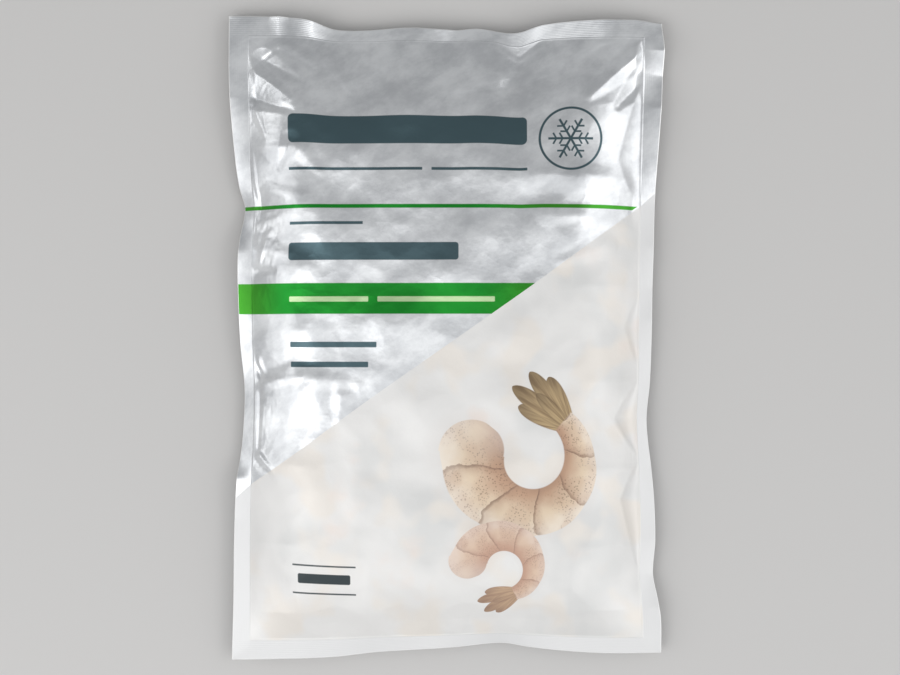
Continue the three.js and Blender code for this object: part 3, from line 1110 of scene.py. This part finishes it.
def frosted_window(tree, effects, u, v):
    """Below the diagonal: milky film over the frozen shrimp, with painted shade between them, and the
    plain weight mark.
    """
    # These blotches include grey patches of painted shade between the shrimp.
    frozen = use_group(tree, effects["blotches"], u=u, v=v)["colour"]
    weld = use_group(tree, effects["ribs"], u=u, v=v)["weld"]
    film = blend(tree, weld, frozen, WELDED_WHITE)
    leaning = v + (u + WEIGHT_MARK["pivot"]) * WEIGHT_MARK["lean"]
    return blend(tree, bars(tree, effects, u, leaning, WEIGHT_MARK["bars"]), film, WEIGHT_INK)


def pictured_window(tree, effects, u, v):
    """The same film where it carries the drawn shrimp, each with a soft shadow round it."""
    colour = frosted_window(tree, effects, u, v)
    for middle_u, middle_v, turn, size, mirror, pink in SHRIMP_PLACES:
        drawn = use_group(tree, effects["shrimp"], u=u, v=v, middle_u=middle_u, middle_v=middle_v,
                          turn=turn, size=size, mirror=mirror)
        colour = blend(tree, drawn["shadow"] * SHADOW["share"], colour, SHRIMP_SHADE)
        flesh = blend(tree, pink, drawn["colour"], SHRIMP_BLUSH)
        colour = blend(tree, drawn["mask"], colour, flesh)
    return colour


def new_material(name, metallic, roughness):
    material = bpy.data.materials.new(name)
    material.use_nodes = True
    shader = material.node_tree.nodes["Principled BSDF"]
    shader.inputs["Metallic"].default_value = metallic
    shader.inputs["Roughness"].default_value = roughness
    return material, material.node_tree, shader


def add_relief(tree, shader, *heights):
    """Feeds the film's fine relief to the shader: pairs of a height and its depth in metres."""
    normal = None
    for height, depth in heights:
        bump = tree.nodes.new("ShaderNodeBump")
        bump.inputs["Distance"].default_value = depth
        feed(tree, bump.inputs["Height"], height)
        if normal:
            feed(tree, bump.inputs["Normal"], normal)
        normal = bump.outputs[0]
    feed(tree, shader.inputs["Normal"], normal)


# Each film: what colours it, how metallic and how rough it is, and how much of the crinkle it has.
FINISHES = {
    "printed_silver": (printed_silver, 0.8, 0.33, 1),
    "frosted_window": (frosted_window, 0.2, 0.45, 0.6),
    "pictured_window": (pictured_window, 0.2, 0.45, 0.6),
    "plain_back": (plain_silver, 0.8, 0.33, 1),
}


def film_material(finish, effects):
    """A film: its own colours, fine crinkle, ribs in the welded border, and a white cut edge."""
    colours, metallic, roughness, crinkle_amount = FINISHES[finish]
    material, tree, shader = new_material(finish + "_film", metallic, roughness)
    place = use_group(tree, effects["place"])
    u, v = place["u"], place["v"]
    ribs = use_group(tree, effects["ribs"], u=u, v=v)
    limp = 1 - ribs["weld"] * RIBS["stiffening"]
    crinkle = use_group(tree, effects["crinkle"], u=u, v=v, amount=limp * crinkle_amount)
    add_relief(
        tree,
        shader,
        (crinkle["height"], CRINKLE["depth"]),
        (ribs["height"], RIBS["depth"]),
        (ribs["line"], SEAL_LINE["depth"]),
    )
    colour = blend(tree, ribs["cut edge"], colours(tree, effects, u, v), CUT_EDGE["colour"])
    feed(tree, shader.inputs["Base Color"], colour)
    return material


# ---- the pouch ----

def make_piece(name, mesh_in_work, materials):
    mesh = bpy.data.meshes.new(name)
    mesh_in_work.to_mesh(mesh)
    mesh_in_work.free()
    for material in materials:
        mesh.materials.append(material)
    piece = bpy.data.objects.new(name, mesh)
    bpy.context.scene.collection.objects.link(piece)
    return piece


def make_pouch():
    sheets = flat_sheets()
    fill_with_shrimp(sheets)
    effects = make_effects()
    pouch = make_piece("pouch_film", sheets, [film_material(finish, effects) for finish in FINISHES])
    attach(pouch, "root")
    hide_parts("pouch")


# ---- light, floor and camera ----

def make_floor():
    floor = bmesh.new()
    bmesh.ops.create_grid(floor, x_segments=1, y_segments=1, size=FLOOR["size"])
    material, _, shader = new_material("pale_floor", 0, FLOOR["roughness"])
    shader.inputs["Base Color"].default_value = FLOOR["colour"]
    piece = make_piece("floor", floor, [material])
    piece.location.z = FLOOR["height"]


def make_camera():
    """Straight above the pouch, at the distance where one pixel is PX millimetres at its border."""
    data = bpy.data.cameras.new("camera")
    data.lens = LENS_MM
    data.sensor_width = SENSOR_MM
    height = PX * MM * FRAME_WIDTH_PX * LENS_MM / SENSOR_MM + SEAL_LEVEL * MM
    camera = bpy.data.objects.new("camera", data)
    camera.location = (
        (FRAME_CENTRE_PX[0] - POUCH_CENTRE_PX[0]) * PX * MM,
        (POUCH_CENTRE_PX[1] - FRAME_CENTRE_PX[1]) * PX * MM,
        height,
    )
    bpy.context.scene.collection.objects.link(camera)
    bpy.context.scene.camera = camera


def softbox(name, place, aim, size, power):
    """A rectangular area light that faces the point aim."""
    data = bpy.data.lights.new(name, "AREA")
    data.shape = "RECTANGLE"
    data.size, data.size_y = size
    data.energy = power
    lamp = bpy.data.objects.new(name, data)
    lamp.location = place
    lamp.rotation_euler = (Vector(aim) - Vector(place)).to_track_quat("-Z", "Y").to_euler()
    bpy.context.scene.collection.objects.link(lamp)


def make_light():
    world = bpy.data.worlds.new("studio")
    world.use_nodes = True
    background = world.node_tree.nodes["Background"]
    background.inputs["Color"].default_value = SKY["colour"]
    background.inputs["Strength"].default_value = SKY["strength"]
    bpy.context.scene.world = world
    for light in LIGHTS:
        softbox(*light)
    bpy.context.scene.view_settings.view_transform = "Standard"


# ---- the scene ----

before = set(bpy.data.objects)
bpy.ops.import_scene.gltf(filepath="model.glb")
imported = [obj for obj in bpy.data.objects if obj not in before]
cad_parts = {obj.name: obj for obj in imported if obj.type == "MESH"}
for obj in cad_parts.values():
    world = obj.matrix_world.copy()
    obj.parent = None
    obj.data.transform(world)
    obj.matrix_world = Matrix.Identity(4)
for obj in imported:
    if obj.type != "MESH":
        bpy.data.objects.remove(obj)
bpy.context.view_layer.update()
make_camera()
make_floor()
make_light()
make_pouch()
